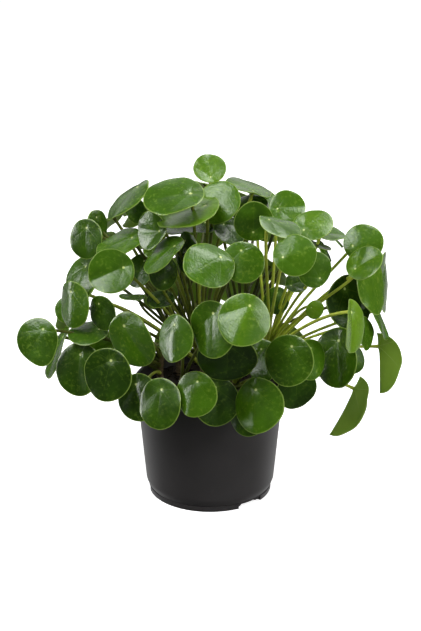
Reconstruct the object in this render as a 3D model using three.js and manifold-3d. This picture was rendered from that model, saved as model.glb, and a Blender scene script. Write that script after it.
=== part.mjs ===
// A potted money plant: a black nursery pot, the soil in it, and seven leafy shoots.
// Millimetres, +Z up. The origin is on the pot's axis, on the surface that the pot stands on.
// -Y is the plant's front, the side that a viewer sees, and +X is to the viewer's right.

import * as THREE from "three";
import { mergeVertices } from "three/addons/utils/BufferGeometryUtils.js";
import Module from "manifold-3d";

const wasm = await Module();
wasm.setup();

const UP = new THREE.Vector3(0, 0, 1);
const MERGE = 1e-4; // corners closer than this are one corner
const GAP = 0.3; // clear space between pieces that touch on the real plant

// The pot is a thin shell: a foot ring, a small shoulder, a flaring wall and a turned-over lip.
const pot = {
  height: 150,
  wall: 1.6,
  footRadius: 78.8,
  footRing: 6, // width of the ring that it stands on
  footHeight: 6.5, // the floor's underside is this far up
  floor: 2.5,
  shoulderHeight: 13,
  shoulderRadius: 82,
  flare: 0.091, // radius gained for each millimetre of height
  lipRadius: 96.5,
  lipHeight: 8,
  lipEdge: 1.4,
  sides: 36,
};
const notch = { bearings: [41, 160, -91], width: 37, depth: 14 }; // degrees from the front, to +X
const drain = { radius: 5, circle: 52, count: 8, sides: 8 };

// The soil fills the pot to a little below its rim, in low lumps.
const soil = { top: 135, mound: 3, lump: 1.5, lumpPitch: 21, rings: 4 };

// Each shoot is a short woody stem, thin leaf stalks and nearly round blades on them.
const stem = { radius: 5, sides: 7, steps: 4, sunk: 22, holeSides: 12, holeGap: 0.6 };
const stalk = { radius: 1.7, sides: 3, steps: 4, arch: 0.12, approach: 26, sunk: 2, spread: 0.6 };
const blade = {
  thickness: 1.2,
  corners: 15,
  spot: 0.55,
  droop: 0.07,
  wave: 0.03,
  waves: 3,
  phase: 2.4,
  point: 0.03,
  sharpness: 8, // the higher, the narrower the point
};

// The viewer looks along +Y from a little above, at a point on the plant's middle.
// A leaf of the front is placed in the upright sheet through that point, square to the sight
// line: across and up are measured on the sheet, and the blade lies behind or before it,
// where the same sight line meets the plane y = depth.
const viewer = { aim: new THREE.Vector3(0.6, 0, 234), distance: 1900, elevation: 20 };

// One row for each leaf of the front, sizes in mm and angles in degrees:
//   across, up, depth: the middle of the blade
//   length: from the blade's base to its tip
//   lean, toward: how far the upper side turns from the viewer, and to which side of the view
//   tip: the side of the view that the tip points to
//   fold: how far the two halves are raised from the midrib, for a folded leaf
//   point: how far the tip stands out of the round, as a share of the half length
//   corner: how far round from the tip that point sits, on a leaf that is pulled askew
// A side of the view is an angle from the right, through the top.
const frontShoots = [
  {
    name: "shoot_middle",
    root: [-8, 12],
    crown: [-13, 10, 200],
    leaves: [
      [-1, 184, 0, 40, 28, 90, 95],
      [-46, 151, -80, 71, 53, 102, 184],
      [-28, 131, -66, 76, 65, 108, 195],
      [9, 142, -40, 55, 28, 120, 59],
      [-26, 116, -22, 70, 68, 95, 200],
      [48, 161, -5, 58, 74, 73, 80],
      [48, 136, -14, 48, 50, 95, 60],
      [54, 117, -86, 47, 20, -60, 92],
      [-1, 65, -135, 60, 33, 60, 218, 0, 0.12],
      [41, 67, -118, 50, 15, 80, -80],
      [24, 106, -50, 40, 40, 60, -60],
      [-76, 106, -62, 46, 47, 180, 178],
      [-98, 24, -20, 32, 76, 85, 175],
      [-72, 82, -40, 24, 30, 90, 120],
      [-59, 77, -85, 58, 66, 132, 222],
      [-31, 79, -72, 50, 60, 180, -90],
      [-58, 54, -60, 44, 40, 0, 95],
      [-62, 20, -24, 34, 50, 90, 180],
      [-105, 147, -20, 67, 74, 135, 225],
      [-94, 132, 8, 32, 35, 200, -90],
      [-156, 96, -4, 49, 36, 180, -95],
      [-141, 112, 28, 40, 50, 0, -80],
      [-114, 91, -32, 60, 61, 115, 200],
      [-124, 55, -80, 55, 15, 110, 201],
      [-163, 45, 8, 64, 56, 158, -112],
      [-168, 14, -22, 58, 53, 185, -105],
      [-181, 7, 6, 32, 30, 180, -90],
      [-88, 57, -30, 44, 45, 150, -100],
      [-136, 3, -38, 44, 45, 200, -80],
    ],
  },
  {
    name: "shoot_right",
    root: [58, 0],
    crown: [75, -5, 200],
    leaves: [
      [66, 138, 15, 45, 30, 60, 60],
      [96, 136, -32, 43, 28, 90, 8],
      [87, 113, -114, 51, 64, 70, -30],
      [128, 114, -78, 47, 42, 100, 45],
      [149, 103, -42, 38, 66, 82, 10],
      [134, 89, -35, 34, 80, 73, -17],
      [143, 82, 2, 32, 77, 30, -55],
      [105, 76, -152, 49, 14, 90, 15],
      [131, 57, -95, 43, 25, -20, 126],
      [191, 91, -8, 49, 15, 90, 20],
      [192, 66, -72, 46, 40, 130, 30],
      [202, 40, -34, 70, 62, 15, -92, 0, 0.12],
      [217, 42, 30, 76, 81, 5, -90],
      [213, -6, -12, 50, 80, 22, -70],
      [157, -52, -100, 72, 45, 180, -86],
      [175, 16, -26, 70, 42, 10, -52],
      [176, -13, -122, 59, 68, 0, -93, 10],
      [194, -22, -40, 42, 66, 10, -80],
      [180, -55, -72, 34, 40, 0, -70],
      [212, -59, -10, 75, 90, 3, -87, 49],
      [171, -111, -45, 77, 90, -24, -114, 42, 0.14],
      [126, -55, -122, 48, 45, 0, -85],
      [83, 19, -25, 34, 20, 0, -90],
      [131, 7, -72, 23, 30, -30, -30],
      [108, 41, -60, 28, 30, 90, 30],
    ],
  },
  {
    name: "shoot_left",
    root: [-64, 4],
    crown: [-61, 0, 185],
    leaves: [
      [-217, -30, -45, 54, 22, 170, -125, 0, 0.28, 50],
      [-193, -44, 18, 72, 78, 158, -112],
      [-165, -67, -40, 66, 32, 180, -100],
      [-129, -74, -98, 64, 28, 185, -110],
      [-99, -31, -82, 70, 48, 212, -60],
      [-131, -39, -14, 52, 40, 100, -120],
      [-153, -20, -22, 50, 55, 100, 190],
      [-91, -102, -88, 58, 35, 180, -75],
    ],
  },
  {
    name: "shoot_front_left",
    root: [-32, -48],
    crown: [-34, -58, 175],
    leaves: [
      [-42, -28, -135, 56, 46, 175, -102],
      [3, -17, -152, 66, 42, 180, -90],
      [7, -107, -120, 59, 18, 0, -88],
      [-19, -98, -136, 54, 28, 180, -107],
      [-64, -110, -122, 61, 35, 180, -103],
    ],
  },
  {
    name: "shoot_front_right",
    root: [30, -52],
    crown: [32, -60, 180],
    leaves: [
      [42, -5, -172, 60, 12, 90, -112, 0, 0.08],
      [21, -54, -130, 72, 42, -90, -90],
      [64, -57, -104, 52, 45, 180, -90],
      [98, -56, -148, 60, 20, 180, -101],
      [108, -92, -118, 52, 35, -40, -80],
      [58, -112, -136, 66, 30, 180, -92],
      [46, -123, -114, 54, 30, 200, -100],
    ],
  },
];

// The far side's leaves hang round the plant in tiers, with their tips downhill. A row holds
// bearing (degrees from straight back, to +X), height, reach (from the axis), length, rise
// (how far the upper side faces up) and turn (how far it faces sideways).
const backShoots = [
  {
    name: "shoot_back_right",
    root: [38, 50],
    crown: [42, 56, 198],
    leaves: [
      [72, 300, 128, 54, 38, 8],
      [42, 290, 170, 60, 32, -10],
      [24, 302, 168, 56, 38, 6],
      [86, 340, 146, 52, 46, -8],
      [54, 344, 136, 60, 48, 12],
      [16, 346, 126, 58, 46, -6],
      [46, 376, 86, 50, 66, 0],
      [66, 212, 194, 60, 20, -6],
      [8, 214, 180, 58, 18, 8],
      [70, 150, 176, 58, 12, 6],
      [40, 146, 166, 62, 8, -8],
      [12, 152, 158, 56, 10, 4],
      [45, 262, 118, 52, 40, 0],
      [15, 258, 110, 50, 42, 10],
      [24, 252, 156, 50, 28, 6],
      [26, 228, 142, 52, 18, 6],
      [25, 382, 36, 54, 74, 0],
    ],
  },
  {
    name: "shoot_back_left",
    root: [-40, 48],
    crown: [-44, 54, 196],
    leaves: [
      [-68, 298, 158, 58, 34, -6],
      [-54, 292, 180, 56, 30, 10],
      [-27, 296, 172, 62, 36, -8],
      [-2, 288, 176, 58, 32, 6],
      [-62, 334, 150, 56, 42, 8],
      [-38, 334, 144, 60, 44, -10],
      [-12, 340, 140, 56, 46, 6],
      [-56, 362, 104, 54, 58, -8],
      [-4, 380, 80, 56, 64, 8],
      [-40, 380, 62, 48, 70, 0],
      [-68, 214, 196, 58, 22, 8],
      [-76, 152, 178, 60, 10, -8],
      [-46, 148, 168, 56, 8, 6],
      [-18, 144, 160, 60, 6, -6],
      [-60, 266, 120, 52, 40, 6],
      [-26, 256, 114, 54, 42, -6],
      [-14, 242, 166, 56, 26, -6],
      [-3, 222, 150, 58, 18, -4],
      [-24, 216, 160, 58, 18, -6],
    ],
  },
];

const colours = { pot: 0x2d2b2c, soil: 0x2a211a, leaf: [0x3f7a28, 0x4a8a2e, 0x35691f] };

const radians = THREE.MathUtils.degToRad;

// A direction on the compass round the pot: 0 is the front, 90 is +X.
function fromFront(bearing, radius) {
  return [radius * Math.sin(radians(bearing)), -radius * Math.cos(radians(bearing))];
}

// A closed geometry as a solid: equal corners become one, and triangles with no area go.
function toSolid(geometry) {
  const bare = new THREE.BufferGeometry();
  bare.setAttribute("position", geometry.getAttribute("position").clone());
  if (geometry.index) bare.setIndex(geometry.index.clone());
  const merged = mergeVertices(bare, MERGE);
  const kept = [];
  for (let i = 0; i < merged.index.count; i += 3) {
    const [a, b, c] = [0, 1, 2].map((k) => merged.index.getX(i + k));
    if (a !== b && b !== c && c !== a) kept.push(a, b, c);
  }
  const vertProperties = merged.getAttribute("position").array;
  return new wasm.Manifold(new wasm.Mesh({ numProp: 3, vertProperties, triVerts: Uint32Array.from(kept) }));
}

function toMesh(name, solid, colour, roughness) {
  const { vertProperties, triVerts } = solid.getMesh();
  const geometry = new THREE.BufferGeometry();
  geometry.setAttribute("position", new THREE.BufferAttribute(Float32Array.from(vertProperties), 3));
  geometry.setIndex(new THREE.BufferAttribute(Uint32Array.from(triVerts), 1));
  geometry.computeVertexNormals();
  const material = new THREE.MeshStandardMaterial({ color: colour, roughness, metalness: 0, flatShading: true });
  const mesh = new THREE.Mesh(geometry, material);
  mesh.name = name;
  return mesh;
}

// An outline of [radius, height] pairs turned round the +Z axis.
function turned(outline, sides) {
  const geometry = new THREE.LatheGeometry(outline.map(([r, z]) => new THREE.Vector2(r, z)), sides);
  return geometry.rotateX(Math.PI / 2);
}

// A prism that stands on the plane z = bottom.
function upright(radius, height, sides, [x, y], bottom) {
  const geometry = new THREE.CylinderGeometry(radius, radius, height, sides);
  return geometry.rotateX(Math.PI / 2).translate(x, y, bottom + height / 2);
}

function wallRadius(height) {
  return pot.shoulderRadius + pot.flare * (height - pot.shoulderHeight);
}

const floorTop = pot.footHeight + pot.floor;

function makePot() {
  const lipBottom = pot.height - pot.lipHeight;
  const innerFoot = pot.footRadius - pot.footRing;
  const outline = [
    [0, pot.footHeight],
    [innerFoot - 1, pot.footHeight],
    [innerFoot, 0],
    [pot.footRadius - 0.6, 0],
    [pot.footRadius, 0.8],
    [pot.footRadius + 0.4, 4.5],
    [pot.shoulderRadius - 1.4, 8.5],
    [pot.shoulderRadius, pot.shoulderHeight],
    [wallRadius(lipBottom), lipBottom],
    [pot.lipRadius - 0.5, lipBottom],
    [pot.lipRadius, pot.height - 1.2],
    [pot.lipRadius - 1, pot.height],
    [pot.lipRadius - 1 - pot.lipEdge, pot.height],
    [wallRadius(pot.height - 2) - pot.wall, pot.height - 2],
    [pot.shoulderRadius - pot.wall, pot.shoulderHeight + 1],
    [pot.shoulderRadius - pot.wall - 2, floorTop],
    [0, floorTop],
  ];
  let shell = toSolid(turned(outline, pot.sides));
  for (const bearing of notch.bearings) {
    const cutter = new THREE.BoxGeometry(notch.width, notch.depth, 2 * (pot.footHeight - 0.3));
    const [x, y] = fromFront(bearing, pot.footRadius);
    cutter.rotateZ(radians(bearing)).translate(x, y, 0);
    shell = shell.subtract(toSolid(cutter));
  }
  for (let i = 0; i < drain.count; i++) {
    const place = fromFront((360 * (i + 0.5)) / drain.count, drain.circle);
    const height = pot.floor + 2;
    shell = shell.subtract(toSolid(upright(drain.radius, height, drain.sides, place, pot.footHeight - 1)));
  }
  return shell;
}

// The soil's surface: a low mound with lumps, level with soil.top at the wall.
function soilHeight(x, y, edge) {
  const inward = 1 - Math.hypot(x, y) / edge;
  const lumps = Math.sin(x / soil.lumpPitch + 1) * Math.cos(y / (0.8 * soil.lumpPitch));
  return soil.top + soil.mound * inward + soil.lump * lumps * Math.min(1, 4 * inward);
}

function makeSoil() {
  const edge = wallRadius(soil.top) - pot.wall - GAP;
  const shoulder = pot.shoulderRadius - pot.wall - GAP;
  const outline = [
    [0, floorTop + GAP],
    [shoulder - 2.2, floorTop + GAP],
    [shoulder, pot.shoulderHeight + 1.5],
  ];
  for (let i = 0; i <= soil.rings; i++) outline.push([edge * (1 - i / soil.rings), soil.top]);
  const body = turned(outline, pot.sides);
  const position = body.getAttribute("position");
  for (let i = 0; i < position.count; i++) {
    if (position.getZ(i) < soil.top - 1) continue;
    position.setZ(i, soilHeight(position.getX(i), position.getY(i), edge));
  }
  let solid = toSolid(body);
  for (const { root } of [...frontShoots, ...backShoots]) {
    const bottom = soil.top - stem.sunk - GAP;
    solid = solid.subtract(toSolid(upright(stem.radius + stem.holeGap, 40, stem.holeSides, root, bottom)));
  }
  return solid;
}

const elevation = radians(viewer.elevation);
const sheetUp = new THREE.Vector3(0, Math.sin(elevation), Math.cos(elevation));
const eye = viewer.aim
  .clone()
  .add(new THREE.Vector3(0, -Math.cos(elevation), Math.sin(elevation)).multiplyScalar(viewer.distance));

// Where the sight line through a point of the sheet meets the plane y = depth.
function onSightLine(across, up, depth) {
  const sheet = viewer.aim.clone().add(new THREE.Vector3(across, 0, 0)).addScaledVector(sheetUp, up);
  return eye.clone().lerp(sheet, (depth - eye.y) / (sheet.y - eye.y));
}

// A blade's own frame: first axis to the tip, third out of the upper side.
function bladeFrame(middle, normal, tip) {
  const along = tip.clone().addScaledVector(normal, -tip.dot(normal)).normalize();
  const side = new THREE.Vector3().crossVectors(normal, along);
  return new THREE.Matrix4().makeBasis(along, side, normal).setPosition(middle);
}

function frontLeaf([across, up, depth, length, lean, toward, tip, fold = 0, point = blade.point, corner = 0], number) {
  const middle = onSightLine(across, up, depth);
  const toEye = eye.clone().sub(middle).normalize();
  const right = new THREE.Vector3().crossVectors(UP, toEye).normalize();
  const rise = new THREE.Vector3().crossVectors(toEye, right);
  const inView = (angle) =>
    right.clone().multiplyScalar(Math.cos(radians(angle))).addScaledVector(rise, Math.sin(radians(angle)));
  const normal = toEye.multiplyScalar(Math.cos(radians(lean))).addScaledVector(inView(toward), Math.sin(radians(lean)));
  const frame = bladeFrame(middle, normal, inView(tip));
  return { length, fold: radians(fold), point, corner: radians(corner), phase: number * blade.phase, frame };
}

function backLeaf([bearing, height, reach, length, rise, turn], number) {
  const outward = (angle) => new THREE.Vector3(Math.sin(radians(angle)), Math.cos(radians(angle)), 0);
  const middle = outward(bearing).multiplyScalar(reach).setZ(height);
  const normal = outward(bearing + turn).multiplyScalar(Math.cos(radians(rise))).setZ(Math.sin(radians(rise)));
  const frame = bladeFrame(middle, normal, UP.clone().negate());
  return { length, fold: 0, point: blade.point, corner: 0, phase: number * blade.phase, frame };
}

// A point of a blade: reach runs from 0 in the middle to 1 at the rim, and angle is 0 at the tip.
function bladePoint({ length, fold, point, corner, phase, frame }, reach, angle, above) {
  const radius = length / 2;
  const out = reach * radius * (1 + point * Math.max(0, Math.cos(angle - corner)) ** blade.sharpness);
  const side = out * Math.sin(angle);
  const lift = radius * reach ** 2 * (blade.wave * Math.sin(blade.waves * angle + phase) - blade.droop);
  const raised = lift + Math.abs(side) * Math.sin(fold) + above;
  return new THREE.Vector3(out * Math.cos(angle), side * Math.cos(fold), raised).applyMatrix4(frame);
}

// The spot where the stalk meets the blade, in the middle of the facet opposite the tip.
function spotPoint(leaf) {
  const half = Math.PI / blade.corners;
  const base = bladePoint(leaf, 1, Math.PI - half, 0).lerp(bladePoint(leaf, 1, Math.PI + half, 0), 0.5);
  return bladePoint(leaf, 0, 0, 0).lerp(base, blade.spot / Math.cos(half));
}

function makeBlade(leaf) {
  const disc = new THREE.CylinderGeometry(1, 1, blade.thickness, blade.corners);
  const position = disc.getAttribute("position");
  for (let i = 0; i < position.count; i++) {
    const [side, above, along] = [position.getX(i), position.getY(i), position.getZ(i)];
    const { x, y, z } = bladePoint(leaf, Math.hypot(side, along), Math.atan2(side, along), above);
    position.setXYZ(i, x, y, z);
  }
  return toSolid(disc);
}

// A bar of even section, with so many sides, along a curve.
function bar(curve, radius, sides, steps) {
  const section = new THREE.Shape();
  for (let i = 0; i < sides; i++) {
    const angle = (2 * Math.PI * i) / sides;
    const corner = [radius * Math.cos(angle), radius * Math.sin(angle)];
    if (i === 0) section.moveTo(...corner);
    else section.lineTo(...corner);
  }
  return new THREE.ExtrudeGeometry(section, { steps, extrudePath: curve, bevelEnabled: false });
}

// A stalk leaves the stem, bows upward and comes to the blade's spot from its underside.
function makeStalk(leaf, start) {
  const end = spotPoint(leaf);
  const normal = new THREE.Vector3().setFromMatrixColumn(leaf.frame, 2);
  const chord = end.clone().sub(start);
  const span = chord.length();
  const first = start.clone().addScaledVector(chord, 0.35).addScaledVector(UP, stalk.arch * span);
  const second = end.clone().addScaledVector(normal, -Math.min(stalk.approach, 0.3 * span));
  return toSolid(bar(new THREE.CubicBezierCurve3(start, first, second, end), stalk.radius, stalk.sides, stalk.steps));
}

// Fused leaves can close off small hollows between them, and those are filled.
function outerBody(solid) {
  return solid.decompose().reduce((largest, body) => (body.volume() > largest.volume() ? body : largest));
}

// A short stem, bent from its place in the soil to its crown, with its leaves up the top of it.
function makeShoot({ root, crown, leaves }, placeLeaf) {
  const ground = new THREE.Vector3(...root, soil.top + 3);
  const top = new THREE.Vector3(...crown);
  const bend = ground.clone().setZ((ground.z + top.z) / 2);
  const trunk = new THREE.QuadraticBezierCurve3(ground, bend, top);
  const parts = [
    toSolid(upright(stem.radius, stem.sunk + 6, stem.sides, root, soil.top - stem.sunk)),
    toSolid(bar(trunk, stem.radius - 0.4, stem.sides, stem.steps)),
  ];
  // The higher a leaf stands, the higher on the stem its stalk starts.
  const placed = leaves.map(placeLeaf).sort((a, b) => b.frame.elements[14] - a.frame.elements[14]);
  placed.forEach((leaf, rank) => {
    const start = trunk.getPointAt(1 - (stalk.spread * (rank + 1)) / placed.length);
    const outward = spotPoint(leaf).sub(start).setZ(0).setLength(stem.radius - stalk.sunk);
    parts.push(makeStalk(leaf, start.add(outward)), makeBlade(leaf));
  });
  return outerBody(wasm.Manifold.union(parts));
}

const plant = new THREE.Group();
plant.name = "potted_money_plant";
plant.add(toMesh("pot", makePot(), colours.pot, 0.5));
plant.add(toMesh("soil", makeSoil(), colours.soil, 0.95));
const shoots = new THREE.Group();
const placed = [...frontShoots.map((shoot) => [shoot, frontLeaf]), ...backShoots.map((shoot) => [shoot, backLeaf])];
placed.forEach(([shoot, placeLeaf], i) => {
  const green = colours.leaf[i % colours.leaf.length];
  shoots.add(toMesh(shoot.name, makeShoot(shoot, placeLeaf), green, 0.4));
});
plant.add(shoots);

export default plant;
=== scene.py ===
# %% [markdown]
# A potted money plant, dressed for its picture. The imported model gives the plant's real place and
# size: a black nursery pot, soil, and seven shoots with nearly round leaves on long stalks. Here
# each of those solids gets a finer piece of the same form, and a finish of its own. Lengths are in
# millimetres until they go into a mesh, and angles in degrees.

# %% Load the frame
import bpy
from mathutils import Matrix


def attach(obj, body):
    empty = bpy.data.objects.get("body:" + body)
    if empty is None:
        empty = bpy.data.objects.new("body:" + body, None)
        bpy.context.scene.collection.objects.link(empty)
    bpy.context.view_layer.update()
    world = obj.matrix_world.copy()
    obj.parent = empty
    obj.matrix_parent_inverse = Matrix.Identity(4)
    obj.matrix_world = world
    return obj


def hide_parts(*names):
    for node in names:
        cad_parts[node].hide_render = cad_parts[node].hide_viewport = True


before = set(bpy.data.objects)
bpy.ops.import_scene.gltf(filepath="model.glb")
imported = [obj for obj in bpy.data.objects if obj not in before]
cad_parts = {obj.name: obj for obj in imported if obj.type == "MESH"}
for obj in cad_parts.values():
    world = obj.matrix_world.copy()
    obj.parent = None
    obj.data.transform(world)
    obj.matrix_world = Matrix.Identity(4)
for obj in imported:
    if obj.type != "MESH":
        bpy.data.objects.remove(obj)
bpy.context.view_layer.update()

# %% The libraries, and the unit
import random
from math import atan2, cos, exp, hypot, pi, radians, sin, sqrt

import bmesh
import bpy
import numpy as np
from mathutils import Matrix, Vector, noise

MM = 0.001
UP = Vector((0, 0, 1))
print("nodes", sorted(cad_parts))

# %% [markdown]
# The camera comes first, because the front's leaves are placed along its sight lines. It looks along
# +Y from 20 degrees above the level and from nearly two metres away, so the round pot shows a flat
# ellipse at its foot and hardly narrows with distance.

# %% The camera
AIM = Vector((0.6, 0, 234)) * MM
DISTANCE = 1900 * MM
ELEVATION = radians(20)
LENS = 86.7
EYE = AIM + DISTANCE * Vector((0, -cos(ELEVATION), sin(ELEVATION)))
bpy.ops.object.camera_add(location=EYE, rotation=(pi / 2 - ELEVATION, 0, 0))
camera = bpy.context.object
camera.name = "camera"
camera.data.lens = LENS
camera.data.clip_end = 50
bpy.context.scene.camera = camera
print("camera at", [round(v, 3) for v in EYE])

# %% [markdown]
# A finish is a small net of shader nodes, and so is the light of a room. Sums on sockets read best
# as sums, so one class wraps a socket and turns Python's own signs into Math nodes. The net class
# adds every other node with one method: its type, its settings, and what goes into its sockets.

# %% Shader sums
class Wire:
    """A socket of a net that can be added, subtracted, multiplied and raised."""

    def __init__(self, net, socket):
        self.net = net
        self.socket = socket

    def __add__(self, other):
        return self.net.sum_of("ADD", self, other)

    __radd__ = __add__

    def __sub__(self, other):
        return self.net.sum_of("SUBTRACT", self, other)

    def __rsub__(self, other):
        return self.net.sum_of("SUBTRACT", other, self)

    def __mul__(self, other):
        return self.net.sum_of("MULTIPLY", self, other)

    __rmul__ = __mul__

    def __pow__(self, other):
        return self.net.sum_of("POWER", self, other)


print("sums ready")

# %% A net of nodes
class Net:
    """The nodes of a material or a world, and the node that they feed."""

    def __init__(self, tree, surface):
        self.links = tree.links
        self.nodes = tree.nodes
        self.surface = tree.nodes[surface]

    def link(self, value, socket):
        if isinstance(value, Wire):
            self.links.new(value.socket, socket)
        else:
            socket.default_value = value

    def node(self, kind, settings=None, out=0, **values):
        """Adds a node. A value's key is a socket's name with _ for a space, or i and its number."""
        made = self.nodes.new("ShaderNode" + kind)
        for key, value in (settings or {}).items():
            setattr(made, key, value)
        for key, value in values.items():
            name = int(key[1:]) if key[1:].isdigit() else key.replace("_", " ")
            self.link(value, made.inputs[name])
        return Wire(self, made.outputs[out])

    def sum_of(self, operation, *terms):
        values = {f"i{number}": term for number, term in enumerate(terms)}
        return self.node("Math", {"operation": operation}, **values)

    def parts(self, vector):
        """The three numbers of a vector."""
        return [Wire(self, out) for out in self.node("SeparateXYZ", Vector=vector).socket.node.outputs]

    def noted(self, name):
        """The three numbers that a mesh keeps for each point under a name."""
        return self.parts(self.node("Attribute", {"attribute_name": name}, out=1))

    def feed(self, **values):
        for key, value in values.items():
            self.link(value, self.surface.inputs[key.replace("_", " ")])

    def mix(self, share, low, high):
        """A colour between low and high."""
        return self.node("Mix", {"data_type": "RGBA"}, out=2, i0=share, i6=low, i7=high)

    def ease(self, value, start, end):
        """0 up to start, 1 from end on, and a smooth rise between them."""
        settings = {"interpolation_type": "SMOOTHSTEP"}
        return self.node("MapRange", settings, Value=value, From_Min=start, From_Max=end)

    def grain(self, scale, detail=3.0, place=None):
        """Noise of about 0 to 1 that is fixed to the piece."""
        place = place or self.node("TexCoord", out=3)
        return self.node("TexNoise", Vector=place, Scale=scale, Detail=detail)


class Finish(Net):
    """A named material with one Principled surface, and the values that are the same all over it."""

    def __init__(self, name, **constants):
        self.material = bpy.data.materials.new(name)
        self.material.use_nodes = True
        super().__init__(self.material.node_tree, "Principled BSDF")
        self.feed(**constants)

    def coat(self, colour, roughness, height, strength, depth):
        """Colour and roughness of the surface, and its bumps: heights, strength and depth."""
        bumps = self.node("Bump", Strength=strength, Distance=depth, Height=height)
        self.feed(Base_Color=colour, Roughness=roughness, Normal=bumps)


def paint(red, green, blue):
    """A colour given as a screen shows it, 0 to 255, for a shader socket."""
    screen = [level / 255 for level in (red, green, blue)]
    linear = [v / 12.92 if v <= 0.04045 else ((v + 0.055) / 1.055) ** 2.4 for v in screen]
    return (*linear, 1.0)


print("finish class ready")

# %% [markdown]
# The light is a white studio's. A lamp shades a leaf and also shows as a shine on it, and one lamp
# can't be set for both. So the lights only shade: the key stands above the viewer's left shoulder,
# and the others lift its shadows. The boxes only shine: the leaves' pale halves and the streaks on
# the pot are their reflections, and the deep greens mirror the dark side of the room.

# %% Studio lamps
LAMP_DISTANCE = 2.8  # metres


def compass(bearing):
    """A level direction: 0 is the viewer's side, and 90 is the right."""
    return Vector((sin(radians(bearing)), -cos(radians(bearing)), 0))


def soft_light(name, bearing, rise, size, power, tall=1.0, shades=True, shines=True):
    """A lamp that looks at the plant from a bearing, and so far up from the level. Its size is its
    width in metres, and tall is its height as a share of that."""
    away = compass(bearing) * cos(radians(rise)) + UP * sin(radians(rise))
    turn = (-away).to_track_quat("-Z", "Y").to_euler()
    bpy.ops.object.light_add(type="AREA", location=AIM + away * LAMP_DISTANCE, rotation=turn)
    lamp = bpy.context.object
    lamp.name = name
    lamp.data.shape = "RECTANGLE"
    lamp.data.size = size
    lamp.data.size_y = size * tall
    lamp.data.energy = power
    lamp.visible_diffuse = shades
    lamp.visible_glossy = shines


soft_light("key_light", -30, 55, 1.4, 36, shines=False)
soft_light("left_light", -80, 28, 1.6, 27, shines=False)
soft_light("fill_light", 60, 15, 1.8, 44, shines=False)
soft_light("front_fill", 5, 0, 2.4, 6, shines=False)
soft_light("key_box", -60, 50, 1.6, 65, shades=False)
soft_light("left_box", -97, 3, 1.1, 46, tall=1.3, shades=False)
soft_light("right_box", 80, 24, 1.3, 31, shades=False)
soft_light("top_box", 120, 68, 1.5, 55, shades=False)
soft_light("top_light", 130, 70, 1.6, 26, shines=False)

# %% [markdown]
# The room round the lamps is a world shader: dim on the viewer's side and overhead, with a wall that
# glows behind the plant and a floor at its foot that glows less. A leaf seen at a flat angle mirrors
# those two, so the highest leaves are grey-green. Height and depth are those of a direction: 1 is
# straight up, or straight away from the viewer.

# %% The room
ROOM_LIGHT = {"front": 0.02, "overhead": 0.06, "behind": 1.0, "below": 0.06, "floor": 0.6}
world = bpy.data.worlds.new("white_room")
world.use_nodes = True
room = Net(world.node_tree, "Background")
depth, height = room.parts(room.node("TexCoord"))[1:]
light = ROOM_LIGHT["front"] + room.ease(height, -0.1, 0.8) * ROOM_LIGHT["overhead"]
light = light + room.ease(height, -0.05, 0.25) * room.ease(depth, 0.5, 0.92) * ROOM_LIGHT["behind"]
light = light + room.ease(height, 0.0, -0.5) * ROOM_LIGHT["below"]
light = light + room.ease(height, -0.15, -0.35) * room.ease(depth, -0.1, 0.7) * ROOM_LIGHT["floor"]
room.feed(Color=(1, 1, 1, 1), Strength=light)
bpy.context.scene.world = world
bpy.context.scene.view_settings.view_transform = "Standard"
print("room light", ROOM_LIGHT)

# %% [markdown]
# The plant stands in its own soft shadow on a nearly white floor, which would light the leaves from
# below. It is kept out of their light, and the room's own lower half takes its place there. A ring
# of the same white stands far out for the low views, and only the camera sees it.

# %% Floor and backdrop
FLOOR_WIDTH = 16  # metres, as are the next two
BACKDROP_RADIUS = 7.9
BACKDROP_HEIGHT = 8
bpy.ops.mesh.primitive_plane_add(size=FLOOR_WIDTH, location=(0, 0, 0))
floor = bpy.context.object
floor.name = "floor"
bpy.ops.mesh.primitive_cylinder_add(radius=BACKDROP_RADIUS, depth=BACKDROP_HEIGHT,
                                    end_fill_type="NOTHING", location=(0, 0, BACKDROP_HEIGHT / 2))
backdrop = bpy.context.object
backdrop.name = "backdrop"
backdrop.visible_shadow = False
floor_finish = Finish("floor_white", Roughness=0.9, Emission_Color=(1, 1, 1, 1), Emission_Strength=0.8)
mottle = floor_finish.grain(2.0)
floor_finish.feed(Base_Color=floor_finish.mix(mottle, paint(250, 250, 250), paint(252, 252, 252)))
for sheet in (floor, backdrop):
    sheet.data.materials.append(floor_finish.material)
    sheet.visible_diffuse = False
    sheet.visible_glossy = False
print("stage", floor.name, backdrop.name)

# %% [markdown]
# Modelling works on what is selected, and the imported solids are all selected at first. These
# helpers see to that, pull rings out and close them, and copy, join and check meshes.

# %% Modelling helpers
def nothing_selected():
    if bpy.context.object and bpy.context.object.mode != "OBJECT":
        bpy.ops.object.mode_set(mode="OBJECT")
    bpy.ops.object.select_all(action="DESELECT")


def select_only(*pieces):
    nothing_selected()
    for piece in pieces:
        piece.select_set(True)
    bpy.context.view_layer.objects.active = pieces[0]


def apply_all(piece):
    """Applies every modifier and the object's own place, so that the place is in the mesh."""
    select_only(piece)
    for modifier in list(piece.modifiers):
        bpy.ops.object.modifier_apply(modifier=modifier.name)
    bpy.ops.object.transform_apply(location=True, rotation=True, scale=True)


def outward(piece):
    """Turns a closed mesh the right way out and prints how sound it is."""
    form = bmesh.new()
    form.from_mesh(piece.data)
    if form.calc_volume(signed=True) < 0:
        bmesh.ops.reverse_faces(form, faces=form.faces)
        form.to_mesh(piece.data)
    open_edges = sum(not edge.is_contiguous for edge in form.edges)
    triangles = sum(len(face.verts) - 2 for face in form.faces)
    print(piece.name, triangles, "triangles,", open_edges, "open edges")
    form.free()


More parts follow.
